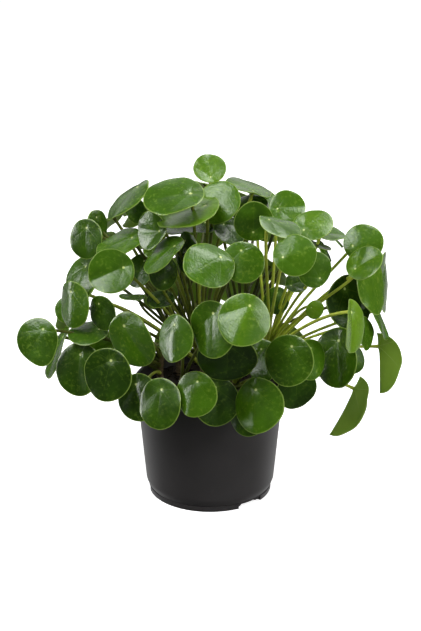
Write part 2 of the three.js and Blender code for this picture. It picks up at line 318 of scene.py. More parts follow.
def start_ring(name, sides, radius, height):
    nothing_selected()
    bpy.ops.mesh.primitive_circle_add(vertices=sides, radius=radius, location=(0, 0, height))
    bpy.context.object.name = name
    bpy.ops.object.mode_set(mode="EDIT")
    bpy.ops.mesh.select_all(action="SELECT")
    return bpy.context.object


def close_ends():
    """Closes the last ring of an edit, which is selected, and then the first."""
    bpy.ops.mesh.edge_face_add()
    bpy.ops.mesh.select_all(action="DESELECT")
    bpy.ops.mesh.select_non_manifold()
    bpy.ops.mesh.edge_face_add()
    bpy.ops.object.mode_set(mode="OBJECT")


def ring_form(name, outline, sides):
    """A closed form turned round the upright axis: each ring is pulled out of the one before."""
    radius, height = outline[0]
    piece = start_ring(name, sides, radius * MM, height * MM)
    for next_radius, next_height in outline[1:]:
        rise = (0, 0, (next_height - height) * MM)
        bpy.ops.mesh.extrude_region_move(TRANSFORM_OT_translate={"value": rise})
        spread = next_radius / radius
        bpy.ops.transform.resize(value=(spread, spread, 1), center_override=(0, 0, 0))
        radius, height = next_radius, next_height
    close_ends()
    return piece


def points_of(piece):
    flat = np.empty(len(piece.data.vertices) * 3)
    piece.data.vertices.foreach_get("co", flat)
    return flat.reshape(-1, 3)


def move_points(piece, points):
    piece.data.vertices.foreach_set("co", points.astype(np.float32).ravel())
    piece.data.update()


def copy_of(master):
    """A copy of an object and its mesh, in the scene."""
    copy = master.copy()
    copy.data = master.data.copy()
    bpy.context.scene.collection.objects.link(copy)
    return copy


def join_copies(name, copies):
    """Makes one object of many whose places are all in their meshes."""
    select_only(*copies)
    bpy.ops.object.join()
    joined = bpy.context.object
    joined.name = joined.data.name = name
    return joined


print("helpers ready")

# %% [markdown]
# The pot is a thin moulded shell. It stands on a narrow ring with a groove over it, rounds out over
# a small shoulder, widens upward and ends in a turned-over lip. It could be spun from a drawn
# outline, but pulling ring after ring out of a circle shows each of those parts.

# %% The pot's sizes
POT_HEIGHT = 150
POT_WALL = 1.6
FOOT_RADIUS = 78.8
FOOT_RING = 6
FLOOR_UNDER = 6.5  # how high the floor's underside is
FLOOR_TOP = 9
GROOVE_BOTTOM = 6.6
GROOVE_TOP = 8
GROOVE_DEPTH = 1
SHOULDER_HEIGHT = 13
SHOULDER_RADIUS = 82
SHOULDER_TOP = 20
FLARE = 0.091  # radius gained for each millimetre of height
LIP_RADIUS = 96.5
LIP_BOTTOM = POT_HEIGHT - 8
LIP_EDGE = 1.4
POT_SIDES = 128
HALFWAY = 70  # a height between shoulder and lip


def wall_radius(height):
    return SHOULDER_RADIUS + FLARE * (height - SHOULDER_HEIGHT)


def shoulder_curve(steps=8):
    """The rounded way from the groove over the foot ring out to the wall."""
    rings = []
    for step in range(steps + 1):
        share = step / steps
        height = GROOVE_TOP + (SHOULDER_TOP - GROOVE_TOP) * share
        out = (wall_radius(SHOULDER_TOP) - FOOT_RADIUS) * sin(share * pi / 2)
        rings.append((FOOT_RADIUS + out, height))
    return rings


pot_outline = [
    (FOOT_RADIUS - FOOT_RING - 1, FLOOR_UNDER),
    (FOOT_RADIUS - FOOT_RING, 0.4),
    (FOOT_RADIUS - FOOT_RING + 0.5, 0),
    (FOOT_RADIUS - 0.8, 0),
    (FOOT_RADIUS - 0.2, 0.3),
    (FOOT_RADIUS, 0.9),
    (FOOT_RADIUS + 0.2, GROOVE_BOTTOM),
    (FOOT_RADIUS - GROOVE_DEPTH, GROOVE_BOTTOM + 0.2),
    (FOOT_RADIUS - GROOVE_DEPTH, GROOVE_TOP - 0.1),
    *shoulder_curve(),
    (wall_radius(HALFWAY), HALFWAY),
    (wall_radius(LIP_BOTTOM - 0.5), LIP_BOTTOM - 0.5),
    (wall_radius(LIP_BOTTOM) + 0.5, LIP_BOTTOM),
    (LIP_RADIUS - 0.9, LIP_BOTTOM),
    (LIP_RADIUS - 0.5, LIP_BOTTOM + 0.4),
    (LIP_RADIUS, POT_HEIGHT - 1.6),
    (LIP_RADIUS - 0.3, POT_HEIGHT - 0.6),
    (LIP_RADIUS - 1, POT_HEIGHT),
    (LIP_RADIUS - 1 - LIP_EDGE, POT_HEIGHT),
    (LIP_RADIUS - 2.4 - LIP_EDGE, POT_HEIGHT - 0.5),
    (wall_radius(POT_HEIGHT - 2) - POT_WALL, POT_HEIGHT - 2),
    (wall_radius(HALFWAY) - POT_WALL, HALFWAY),
    (SHOULDER_RADIUS - POT_WALL, SHOULDER_HEIGHT + 1),
    (SHOULDER_RADIUS - POT_WALL - 2, FLOOR_TOP),
]
print("pot outline has", len(pot_outline), "rings")

# %% [markdown]
# Water leaves through shallow notches in the ring and round holes in the floor. Their blocks and
# plugs are joined in one cutter, and a boolean takes it away from the shell.

# %% Model the pot
NOTCH_BEARINGS = (41, 160, -91)
NOTCH_SIZE = (37, 14, 2 * (FLOOR_UNDER - 0.3))
NOTCH_ROUNDING = 1.2
DRAIN_RADIUS = 5
DRAIN_PLUG = 20  # height of the cylinder that cuts a drain hole
DRAIN_CIRCLE = 52
DRAIN_COUNT = 8
pot = ring_form("pot_shell", pot_outline, POT_SIDES)
outward(pot)
cutters = []
for bearing in NOTCH_BEARINGS:
    place = compass(bearing) * FOOT_RADIUS * MM
    bpy.ops.mesh.primitive_cube_add(size=1, location=place, rotation=(0, 0, radians(bearing)))
    block = bpy.context.object
    block.scale = Vector(NOTCH_SIZE) * MM
    bevel = block.modifiers.new("round", "BEVEL")
    bevel.width = NOTCH_ROUNDING * MM
    bevel.segments = 3
    bpy.ops.object.transform_apply(location=False, rotation=False, scale=True)
    apply_all(block)
    cutters.append(block)
for number in range(DRAIN_COUNT):
    place = compass(360 * (number + 0.5) / DRAIN_COUNT) * DRAIN_CIRCLE * MM + UP * FLOOR_UNDER * MM
    bpy.ops.mesh.primitive_cylinder_add(vertices=24, radius=DRAIN_RADIUS * MM,
                                        depth=DRAIN_PLUG * MM, location=place)
    apply_all(bpy.context.object)
    cutters.append(bpy.context.object)
cutter = join_copies("pot_cutter", cutters)
cut = pot.modifiers.new("cut", "BOOLEAN")
cut.operation = "DIFFERENCE"
cut.solver = "EXACT"
cut.object = cutter
apply_all(pot)
bpy.data.objects.remove(cutter)
bpy.ops.object.shade_smooth_by_angle(angle=radians(35))
outward(pot)

# %% [markdown]
# The pot's plastic is nearly black and satin, with a very fine grain from moulding and faint scuffs
# from handling. Neither follows the pot's form, so both are noise on its surface.

# %% The pot's finish
pot_finish = Finish("black_plastic", Specular_IOR_Level=0.5)
grain = pot_finish.grain(900, 2.0)
cloud = pot_finish.grain(22, 4.0)
scuffs = pot_finish.ease(pot_finish.grain(140, 6.0), 0.62, 0.78)
body_colour = pot_finish.mix(cloud, paint(58, 56, 56), paint(68, 66, 66))
body_colour = pot_finish.mix(scuffs * 0.12, body_colour, paint(90, 89, 88))
roughness = 0.34 + cloud * 0.1 + scuffs * 0.15
pot_finish.coat(body_colour, roughness, grain + cloud * 0.6, strength=0.12, depth=0.0002)
pot.data.materials.append(pot_finish.material)
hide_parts("pot")
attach(pot, "root")
print("pot finished")

# %% [markdown]
# The soil fills the pot to a little below the rim, in low lumps. A displaced disc would do, but the
# heights of these rings follow the solid's own formula, with finer noise.

# %% Model the soil
SOIL_TOP = 135
SOIL_MOUND = 3
SOIL_LUMP = 1.5
LUMP_PITCH = 21
SOIL_RINGS = 34
SOIL_SIDES = 112
CRUMBLE = 1.1  # height of the fine noise
CRUMBLE_SCALE = 0.16
GAP = 0.3  # clear space to the pot
soil_edge = wall_radius(SOIL_TOP) - POT_WALL - GAP


def soil_height(x, y):
    """Height of the soil at a point, all in millimetres."""
    inward = max(0.0, 1 - hypot(x, y) / soil_edge)
    lumps = sin(x / LUMP_PITCH + 1) * cos(y / (0.8 * LUMP_PITCH))
    fine = noise.fractal(Vector((x, y, 0)) * CRUMBLE_SCALE, 0.6, 2.2, 4)
    return SOIL_TOP + SOIL_MOUND * inward + SOIL_LUMP * lumps * min(1, 4 * inward) + CRUMBLE * fine


shoulder = SHOULDER_RADIUS - POT_WALL - GAP
soil_outline = [(shoulder - 2.2, FLOOR_TOP + GAP), (shoulder, SHOULDER_HEIGHT + 1.5)]
soil_outline += [(soil_edge * (1 - ring / SOIL_RINGS) + 0.4, SOIL_TOP) for ring in range(SOIL_RINGS)]
soil = ring_form("soil_bed", soil_outline, SOIL_SIDES)
soil_points = points_of(soil) / MM
for point in soil_points:
    if point[2] > SOIL_TOP - 1:
        point[2] = soil_height(point[0], point[1])
move_points(soil, soil_points * MM)
select_only(soil)
bpy.ops.object.shade_smooth()
outward(soil)

# %% [markdown]
# Loose crumbs lie on the soil, half sunk. One is modelled, a dented ball, and copied with seeded
# turns and sizes to seeded places.

# %% Model the crumbs
CRUMB_COUNT = 420
CRUMB_SEED = 7
SMALL_CRUMBS = (0.9, 2.2)  # half widths, from and to
LARGE_CRUMBS = (2.2, 3.6)  # one in six
luck = random.Random(CRUMB_SEED)
nothing_selected()
bpy.ops.mesh.primitive_ico_sphere_add(subdivisions=2, radius=1)
crumb = bpy.context.object
crumb_points = points_of(crumb)
dents = [1 + 0.35 * noise.noise(Vector(point) * 1.3) for point in crumb_points]
move_points(crumb, crumb_points * np.array(dents)[:, None])
bpy.ops.object.shade_smooth()
crumbs = []
for number in range(CRUMB_COUNT):
    spin = luck.uniform(0, 2 * pi)
    reach = (soil_edge - 4) * sqrt(luck.random())
    place = Vector((reach * cos(spin), reach * sin(spin), 0))
    size = luck.uniform(*(SMALL_CRUMBS if number % 6 else LARGE_CRUMBS))
    place.z = soil_height(place.x, place.y) + 0.15 * size
    stretch = Matrix.Diagonal((size, size * luck.uniform(0.6, 1), size * luck.uniform(0.45, 0.8), 1))
    turn = Matrix.Rotation(spin, 4, "Z") @ Matrix.Rotation(luck.uniform(-0.6, 0.6), 4, "X")
    crumbs.append(copy_of(crumb))
    crumbs[-1].data.transform(Matrix.Scale(MM, 4) @ Matrix.Translation(place) @ turn @ stretch)
bpy.data.objects.remove(crumb)
crumbs = join_copies("soil_crumbs", crumbs)
outward(crumbs)

# %% [markdown]
# Potting soil is dark and dull, with paler fibres in it. Noise at two scales gives both, and no
# picture of soil has to be laid on.

# %% The soil's finish
soil_finish = Finish("potting_soil", Specular_IOR_Level=0.2)
clods = soil_finish.grain(160, 6.0)
fibres = soil_finish.ease(soil_finish.grain(700, 3.0), 0.6, 0.72)
earth = soil_finish.mix(clods, paint(16, 13, 11), paint(50, 40, 32))
earth = soil_finish.mix(fibres * 0.35, earth, paint(100, 82, 62))
soil_finish.coat(earth, 0.86 + clods * 0.12, clods + fibres * 0.3, strength=0.8, depth=0.001)
for piece in (soil, crumbs):
    piece.data.materials.append(soil_finish.material)
    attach(piece, "root")
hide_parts("soil")
print("soil finished")

# %% [markdown]
# The front's leaves were placed in the picture. So each row gives a place on the sheet that
# faces the camera through the aim, a depth behind or before the pot's axis, a size, and how the
# blade leans and points. The rows are those of the solids, with two more values. The tone goes from
# 0 for a dark leaf to 1 for a light one. It is partly the leaf's own colour, old or young, and partly
# painted shade, low for leaves that lie in the shadow of others. The creases are slopes within the
# blade, chosen so that each part mirrors what it mirrors in the picture. Where they shift the
# outline, the leaf sits up to 5 mm off its solid.

# %% The front's leaves
POINT = 0.03  # how far a plain blade's tip stands out of the round
# A shoot has its root and its crown, then a row for each leaf: across, up, depth, length, lean,
# toward, tip, tone, and as needed creases, the angle by which the blade is folded up, how far its
# tip stands out of the round, and the tip's bearing in the blade.
FRONT = {
    "shoot_middle": ((-8, 12), (-13, 10, 200), [
        (-1, 184, 0, 40, 28, 90, 95, 0.8, (0.1, 0.2, 0.1)),
        (-46, 151, -80, 71, 53, 102, 184, 0.5),
        (-28, 131, -66, 76, 65, 108, 195, 0.8, (0, 0, 0)),
        (9, 142, -40, 55, 28, 120, 59, 0.6),
        (-26, 116, -22, 70, 68, 95, 200, 0.25),
        (48, 161, -5, 58, 74, 73, 80, 0.5),
        (48, 136, -14, 48, 50, 95, 60, 0.25),
        (54, 117, -86, 47, 20, -60, 92, 0.3),
        (-1, 65, -135, 60, 33, 60, 218, 0.4, (-0.1, 0, -0.28), 0, 0.12),
        (41, 67, -118, 50, 15, 80, -80, 0.5),
        (24, 106, -50, 40, 40, 60, -60, 0.25),
        (-76, 106, -62, 46, 47, 180, 178, 0.35, (0.28, 0.2, -0.2)),
        (-98, 24, -20, 32, 76, 85, 175, 0.5),
        (-72, 82, -40, 24, 30, 90, 120, 0.95),
        (-59, 77, -85, 58, 66, 132, 222, 0.5),
        (-31, 79, -72, 50, 60, 180, -90, 0.2),
        (-58, 54, -60, 44, 40, 0, 95, 0.2),
        (-62, 20, -24, 34, 50, 90, 180, 0.2),
        (-105, 147, -20, 67, 74, 135, 225, 0.45),
        (-94, 132, 8, 32, 35, 200, -90, 0.4),
        (-156, 96, -4, 49, 36, 180, -95, 0.35, (0.06, 0, 0)),
        (-141, 112, 28, 40, 50, 0, -80, 0.45),
        (-114, 91, -32, 60, 61, 115, 200, 0.7, (0, 0, 0)),
        (-124, 55, -80, 55, 15, 110, 201, 0.5, (0.3, 0, 0)),
        (-163, 45, 8, 64, 56, 158, -112, 0.25, (0, 0, 0)),
        (-173, 14, -22, 58, 53, 185, -105, 0.45, (-0.22, 0, 0)),
        (-181, 7, 6, 32, 30, 180, -90, 0.45),
        (-88, 57, -30, 44, 45, 150, -100, 0.25),
        (-136, 3, -38, 44, 45, 200, -80, 0.25),
    ]),
    "shoot_right": ((58, 0), (75, -5, 200), [
        (66, 138, 15, 45, 30, 60, 60, 0.5),
        (96, 136, -32, 43, 28, 90, 8, 0.5, (0.25, 0, 0)),
        (87, 113, -114, 51, 64, 70, -30, 0.5),
        (128, 114, -78, 47, 42, 100, 45, 0.6),
        (149, 103, -42, 38, 66, 82, 10, 0.5),
        (134, 89, -35, 34, 80, 73, -17, 0.2),
        (143, 82, 2, 32, 77, 30, -55, 0.5),
        (105, 76, -152, 49, 14, 90, 15, 0.6, (-0.2, -0.2, 0.2)),
        (131, 57, -95, 43, 25, -20, 126, 0.4),
        (191, 91, -8, 49, 15, 90, 20, 0.55),
        (192, 66, -72, 46, 40, 130, 30, 0.65),
        (202, 40, -34, 70, 62, 15, -92, 0.75, (0, 0, 0), 0, 0.12),
        (217, 42, 30, 76, 81, 5, -90, 0.5),
        (213, -6, -12, 50, 80, 22, -70, 0.5),
        (157, -52, -100, 72, 45, 180, -86, 0.3, (0.2, 0, 0)),
        (175, 16, -26, 70, 42, 10, -52, 0.1),
        (176, -16, -122, 58, 68, 0, -93, 0.95, (0, 0, 0), 14, 0.18, 180),
        (194, -22, -40, 42, 66, 10, -80, 0.5),
        (180, -55, -72, 34, 40, 0, -70, 0.25),
        (212, -59, -10, 75, 90, 3, -87, 0.5, (0, 0, 0), 49, POINT),
        (171, -111, -45, 77, 90, -24, -114, 0.55, (0, 0, 0), 42, 0.14),
        (126, -55, -122, 48, 45, 0, -85, 0.55),
        (83, 19, -25, 34, 20, 0, -90, 0.2),
        (131, 7, -72, 23, 30, -30, -30, 1),
        (108, 41, -60, 28, 30, 90, 30, 0.25),
    ]),
    "shoot_left": ((-64, 4), (-61, 0, 185), [
        (-217, -30, -45, 54, 22, 170, -125, 0.4, (0, 0, 0), 0, 0.28, 50),
        (-193, -44, 18, 72, 78, 158, -112, 0.5),
        (-165, -67, -40, 66, 32, 180, -100, 0.25, (0.06, 0, 0)),
        (-129, -74, -98, 64, 28, 185, -110, 0.1, (0, 0, 0.2)),
        (-99, -31, -82, 70, 48, 212, -60, 0.5),
        (-131, -39, -14, 52, 40, 100, -120, 0.6),
        (-153, -20, -22, 50, 55, 100, 190, 0.35),
        (-91, -102, -88, 58, 35, 180, -75, 0.2),
    ]),
    "shoot_front_left": ((-32, -48), (-34, -58, 175), [
        (-46, -28, -135, 56, 46, 175, -102, 0.4, (-0.18, 0, 0)),
        (3, -17, -152, 66, 42, 180, -90, 0.3, (0, 0.34, 0.34)),
        (7, -107, -120, 59, 18, 0, -88, 0.2, (0.1, 0, 0)),
        (-19, -98, -136, 54, 28, 180, -107, 0.45, (-0.22, 0, 0.1)),
        (-64, -110, -122, 61, 35, 180, -103, 0.2, (0, 0, 0)),
    ]),
    "shoot_front_right": ((30, -52), (32, -60, 180), [
        (42, -5, -172, 60, 12, 90, -112, 0.6, (-0.3, -0.3, 0.3), 0, 0.08),
        (21, -54, -130, 72, 42, -90, -90, 0.1),
        (64, -57, -104, 52, 45, 180, -90, 0.4),
        (98, -56, -148, 60, 20, 180, -101, 0.35, (0, 0, 0.2)),
        (108, -92, -118, 52, 35, -40, -80, 0),
        (58, -112, -136, 66, 30, 180, -92, 0.4, (-0.3, 0, 0)),
        (46, -123, -114, 54, 30, 200, -100, 0.3),
    ]),
}
print({name: len(rows) for name, (root, crown, rows) in FRONT.items()})

# %% [markdown]
# The far side has no picture. Its leaves hang round the plant in tiers, as the front's do, so a row
# can be simpler: a bearing that is 0 straight away from the viewer, a height, a reach from the pot's
# axis, a length, how far the blade looks up, and how far it turns from its bearing.

# %% The far side's leaves
BACK = {
    "shoot_back_right": ((38, 50), (42, 56, 198), [
        (72, 300, 128, 54, 38, 8), (42, 290, 170, 60, 32, -10), (24, 302, 168, 56, 38, 6),
        (86, 340, 146, 52, 46, -8), (54, 344, 136, 60, 48, 12), (16, 346, 126, 58, 46, -6),
        (46, 376, 86, 50, 66, 0), (66, 212, 194, 60, 20, -6), (8, 214, 180, 58, 18, 8),
        (70, 150, 176, 58, 12, 6), (40, 146, 166, 62, 8, -8), (12, 152, 158, 56, 10, 4),
        (45, 262, 118, 52, 40, 0), (15, 258, 110, 50, 42, 10), (24, 252, 156, 50, 28, 6),
        (26, 228, 142, 52, 18, 6), (25, 382, 36, 54, 74, 0),
    ]),
    "shoot_back_left": ((-40, 48), (-44, 54, 196), [
        (-68, 298, 158, 58, 34, -6), (-54, 292, 180, 56, 30, 10), (-27, 296, 172, 62, 36, -8),
        (-2, 288, 176, 58, 32, 6), (-62, 334, 150, 56, 42, 8), (-38, 334, 144, 60, 44, -10),
        (-12, 340, 140, 56, 46, 6), (-56, 362, 104, 54, 58, -8), (-4, 380, 80, 56, 64, 8),
        (-40, 380, 62, 48, 70, 0), (-68, 214, 196, 58, 22, 8), (-76, 152, 178, 60, 10, -8),
        (-46, 148, 168, 56, 8, 6), (-18, 144, 160, 60, 6, -6), (-60, 266, 120, 52, 40, 6),
        (-26, 256, 114, 54, 42, -6), (-14, 242, 166, 56, 26, -6), (-3, 222, 150, 58, 18, -4),
        (-24, 216, 160, 58, 18, -6),
    ]),
}
print({name: len(rows) for name, (root, crown, rows) in BACK.items()})

# %% [markdown]
# A leaf's own frame has its first axis toward the tip and its third out of the upper side. It comes
# from the sight line for the front, and from the compass bearing for the far side.

# %% A frame for each leaf of the front
sheet_up = Vector((0, sin(ELEVATION), cos(ELEVATION)))


def blade_frame(middle, normal, tip):
    along = (tip - normal * tip.dot(normal)).normalized()
    side = normal.cross(along)
    frame_of_blade = Matrix((along, side, normal)).transposed().to_4x4()
    frame_of_blade.translation = middle
    return frame_of_blade


def creases_of(number):
    """Slopes of a plain blade: of its halves up from the midrib, then of the parts beyond the
    main side vein on its one side and on its other."""
    midrib = 0.12 * sin(number * 1.9 + 0.6)
    one_side = 0.15 * sin(number * 2.7)
    other_side = 0.15 * sin(number * 3.7 + 1)
    return midrib, one_side, other_side


def front_leaf(row, number):
    across, up, depth, length, lean, toward, tip, tone, *rest = row
    plain = (creases_of(number), 0, POINT, 0)
    creases, fold, point, corner = (*rest, *plain[len(rest):])
    sheet = AIM + Vector((across, 0, 0)) * MM + sheet_up * up * MM
    middle = EYE.lerp(sheet, (depth * MM - EYE.y) / (sheet.y - EYE.y))
    to_eye = (EYE - middle).normalized()
    right = UP.cross(to_eye).normalized()
    rise = to_eye.cross(right)

    def in_view(angle):
        return right * cos(radians(angle)) + rise * sin(radians(angle))

    normal = to_eye * cos(radians(lean)) + in_view(toward) * sin(radians(lean))
    place = blade_frame(middle, normal, in_view(tip))
    return {"place": place, "length": length, "fold": radians(fold), "point": point, "tone": tone,
            "number": number, "creases": creases, "corner": radians(corner)}


print("up in the picture is", [round(v, 3) for v in sheet_up])

# %% A frame for each leaf of the far side
BACK_TONE = 0.42
BACK_TONE_SPREAD = 0.25


def back_leaf(row, number):
    bearing, height, reach, length, rise, turn = row
    bearing = 180 - bearing
    middle = compass(bearing) * reach * MM + UP * height * MM
    normal = compass(bearing - turn) * cos(radians(rise)) + UP * sin(radians(rise))
    place = blade_frame(middle, normal, -UP)
    tone = BACK_TONE + BACK_TONE_SPREAD * sin(number * 2.3)
    return {"place": place, "length": length, "fold": 0.0, "point": POINT, "tone": tone,
            "number": number, "creases": creases_of(number), "corner": 0.0}


print("tones of the far side", BACK_TONE - BACK_TONE_SPREAD, "to", BACK_TONE + BACK_TONE_SPREAD)

# %% [markdown]
# Stalks get painted light and shade: light where the sun would reach them and dark deep inside, and
# those at the right are the lightest. So a shoot also has how much painted light its stalks get at
# least, and how much more by chance.

# %% The shoots
# How much painted light the stalks of each group get: the least, and how much more by chance.
RIGHT_STALKS = (0.65, 0.35)
FRONT_STALKS = (0.03, 0.6)
BACK_STALKS = (0.0, 0.15)
shoots = {}
for rows_by_shoot, make_leaf in ((FRONT, front_leaf), (BACK, back_leaf)):
    for name, (root, crown, rows) in rows_by_shoot.items():
        leaves = [make_leaf(row, number) for number, row in enumerate(rows)]
        painted_stalk_light = BACK_STALKS
        if make_leaf is front_leaf:
            painted_stalk_light = RIGHT_STALKS if name == "shoot_right" else FRONT_STALKS
        shoots[name] = {"root": root, "crown": crown, "leaves": leaves, "painted_stalk_light": painted_stalk_light}
print("leaves", sum(len(shoot["leaves"]) for shoot in shoots.values()))

# %% [markdown]
# A blade is a shallow, nearly round shield. Its stalk meets it from below at a spot well inside the
# rim, where the upper side is dimpled, and the main veins run out from that spot. So the master
# blade's rings close on the spot, not on the middle: a circle is pulled inward toward it, ring by
# ring, and Solidify gives the sheet its two faces and its rim. The master is one unit in radius, and
# its faces lie one unit above and below the level, which tells a point's side when it is placed.

# %% Model the master blade
BLADE_SIDES = 48
SPOT = -0.55  # where the stalk meets the blade, from its middle toward the tip
RINGS = (0.985, 0.955, 0.91, 0.85, 0.77, 0.68, 0.58, 0.48, 0.38, 0.29, 0.21, 0.145, 0.095, 0.055, 0.025)
master_blade = start_ring("master_blade", BLADE_SIDES, 1, 0)
last = 1.0
for size in RINGS:
    bpy.ops.mesh.extrude_region_move()
    bpy.ops.transform.resize(value=(size / last,) * 3, center_override=(SPOT, 0, 0))
    last = size
bpy.ops.mesh.merge(type="CENTER")
bpy.ops.mesh.select_all(action="SELECT")
bpy.ops.object.mode_set(mode="OBJECT")
if master_blade.data.polygons[0].normal.z < 0:
    master_blade.data.flip_normals()
leaf_top = Finish("leaf_upper", Specular_IOR_Level=0.55, IOR=1.45)
leaf_under = Finish("leaf_underside", Specular_IOR_Level=0.4)
leaf_rim = Finish("leaf_rim", Specular_IOR_Level=0.4)
for finish in (leaf_top, leaf_under, leaf_rim):
    master_blade.data.materials.append(finish.material)
thicken = master_blade.modifiers.new("thicken", "SOLIDIFY")
thicken.thickness = 2
thicken.offset = 0
thicken.material_offset = 1
thicken.material_offset_rim = 2
apply_all(master_blade)
outward(master_blade)
bpy.ops.object.shade_smooth_by_angle(angle=radians(60))
top_points = [face.center.z for face in master_blade.data.polygons if face.material_index == 0]
print("upper faces at", round(min(top_points), 2), "to", round(max(top_points), 2))

# %% [markdown]
# A blade isn't flat. Its rim waves and droops, it is dimpled over the stalk, the sheet swells a
# little between the main veins, and it is creased at the midrib and at two side veins. Sculpting 110
# blades would take days, so one formula moves the master's points, and a leaf's number and row make
# it differ from its neighbours.

# %% The blade's veins and creases
MAIN_VEINS = 7
SIDE_VEIN = radians(50)  # between the midrib and the side vein with the crease
MIDRIB_SOFTNESS = 0.05
SIDE_SOFTNESS = 0.04


def veins_at(along, side):
    """0 on a main vein and 1 halfway between two, with how far the point is from the spot."""
    from_spot = np.hypot(along - SPOT, side)
    turn = np.arctan2(side, along - SPOT)
    return np.abs(np.sin(MAIN_VEINS / 2 * turn)), from_spot


def beyond_side_vein(along, side):
    """How far a point lies beyond the side vein with the crease, which is rounded off."""
    beyond = side * cos(SIDE_VEIN) - (along - SPOT) * sin(SIDE_VEIN)
    return (beyond + np.hypot(beyond, SIDE_SOFTNESS)) / 2


print("main veins", MAIN_VEINS)

# %% The blade's form
# The first nine are heights or distances, as shares of the blade's radius.
WAVE = 0.04
DROOP = 0.05
RIPPLE = 0.012
FINE_RIPPLE = 0.008
DIMPLE = 0.028
DIMPLE_RADIUS = 0.13
SWELL = 0.022
CURL = 0.012
CURL_START = 0.9
PHASE = 2.4  # how far the waves turn from one leaf to the next
POINT_SHARPNESS = 8  # the higher, the narrower the tip
THIN_RIM, THICK_MIDDLE = 0.35, 0.6  # half the thickness, in millimetres


def blade_points(leaf, along, side, above):
    """Points of a leaf's blade, in metres. above is 1 on the upper face and -1 on the lower."""
    radius = leaf["length"] / 2
    phase = leaf["number"] * PHASE
    reach = np.hypot(along, side)
    angle = np.arctan2(side, along)
    tip = np.maximum(0, np.cos(angle - leaf["corner"])) ** POINT_SHARPNESS
    out = reach * radius * (1 + leaf["point"] * tip)
    ripple = RIPPLE * np.sin(5 * angle + 2 * phase) + FINE_RIPPLE * np.sin(9 * angle + 3.1 * phase)
    lift = reach**2 * (WAVE * np.sin(3 * angle + phase) - DROOP) + reach**5 * ripple
    between, from_spot = veins_at(along, side)
    dimple = DIMPLE * np.exp(-((from_spot / DIMPLE_RADIUS) ** 2))
    swelling = SWELL * between * from_spot * (1 - 0.55 * reach)
    midrib, one_side, other_side = leaf["creases"]
    halves = midrib * (np.hypot(side, MIDRIB_SOFTNESS) - 0.5)
    halves += one_side * beyond_side_vein(along, side) + other_side * beyond_side_vein(along, -side)
    curl = CURL * np.clip((reach - CURL_START) / (1 - CURL_START), 0, 1) ** 2
    across = out * np.sin(angle)
    thick = THIN_RIM + (THICK_MIDDLE - THIN_RIM) * np.clip(1 - reach**4, 0, 1)
    height = radius * (lift - dimple + swelling + halves - curl)
    height += np.abs(across) * sin(leaf["fold"])
    local = [out * np.cos(angle), across * cos(leaf["fold"]), height + above * thick]
    turned = np.stack(local, axis=1) * MM @ np.array(leaf["place"].to_3x3()).T
    return turned + np.array(leaf["place"].translation)


def note(piece, name, values):
    """Keeps three numbers for each point of a mesh, for its finish to read."""
    attribute = piece.data.attributes.new(name, "FLOAT_VECTOR", "POINT")
    attribute.data.foreach_set("vector", values.astype(np.float32).ravel())


flat = points_of(master_blade)
note(master_blade, "blade", flat)
print("blade has", len(flat), "points")

# %% One blade of the plant
# Its finish reads two notes at each point: where the point is on the master, and the leaf's looks,
# which are its tone and its chance.


def make_blade(leaf, luck):
    blade = copy_of(master_blade)
    move_points(blade, blade_points(leaf, flat[:, 0], flat[:, 1], flat[:, 2]))
    note(blade, "looks", np.tile([leaf["tone"], luck.random(), 0], (len(flat), 1)))
    return blade


print("blades ready to copy")

# %% [markdown]
# Stalks and stems are rods. A curve object with a round profile can't swell unevenly, so one rod of
# rings is modelled upright, one unit high, and every copy is bent to its own curve: its rings are
# carried along with a frame that turns as little as it can.

# %% Model the master rods
def master_rod(name, sides, steps):
    rod = start_ring(name, sides, 1, 0)
    for _ in range(steps):
        bpy.ops.mesh.extrude_region_move(TRANSFORM_OT_translate={"value": (0, 0, 1 / steps)})
    close_ends()
    outward(rod)
    bpy.ops.object.shade_smooth_by_angle(angle=radians(50))
    return rod


stalk_rod = master_rod("master_stalk", sides=8, steps=16)
stem_rod = master_rod("master_stem", sides=14, steps=30)
print("rods", stalk_rod.name, stem_rod.name)

# %% Bend a rod
def bend_rod(master, curve, radius_at, light=0):
    """A copy of a rod along curve(t), with radius_at(t, angle) in metres. It notes how much painted
    light the rod gets, and how far along the rod each point is."""
    rod = copy_of(master)
    straight = points_of(rod)
    levels = np.unique(np.round(straight[:, 2], 5))
    centres = [curve(t) for t in levels]
    sideways = None
    frames = {}
    for index, (t, centre) in enumerate(zip(levels, centres)):
        before, after = centres[max(0, index - 1)], centres[min(len(centres) - 1, index + 1)]
        ahead = (after - before).normalized()
        if sideways is None:
            sideways = ahead.orthogonal().normalized()
        sideways = (sideways - ahead * sideways.dot(ahead)).normalized()
        frames[t] = (centre, sideways, ahead.cross(sideways))
    placed = np.empty_like(straight)
    for index, (x, y, z) in enumerate(straight):
        t = levels[np.argmin(np.abs(levels - z))]
        centre, first, second = frames[t]
        wide = radius_at(t, atan2(y, x))
        placed[index] = centre + (first * x + second * y) * wide
    move_points(rod, placed)
    note(rod, "looks", straight * [0, 0, 1] + [0, light, 0])
    return rod


print("rods ready to bend")

# %% [markdown]
# The stalks of a shoot leave its stem one above another, the highest leaf's at the top. Each bows
# upward and turns into its blade from the underside.

# %% Where a stem runs
CURVE_STEPS = 200


def trunk_curve(root, crown):
    """The stem's middle line, from the soil to the crown, and its point at a share of its length."""
    ground = Vector((*root, SOIL_TOP + SOIL_MOUND)) * MM
    top = Vector(crown) * MM
    bend = Vector((ground.x, ground.y, (ground.z + top.z) / 2))

    def at(t):
        return ground * (1 - t) ** 2 + bend * 2 * t * (1 - t) + top * t**2

    steps = [at(step / CURVE_STEPS) for step in range(CURVE_STEPS + 1)]
    lengths = np.cumsum([0] + [(b - a).length for a, b in zip(steps, steps[1:])])

    def at_share(share):
        return at(float(np.interp(share * lengths[-1], lengths, np.linspace(0, 1, CURVE_STEPS + 1))))

    return at, at_share


print("stems run in", CURVE_STEPS, "steps")

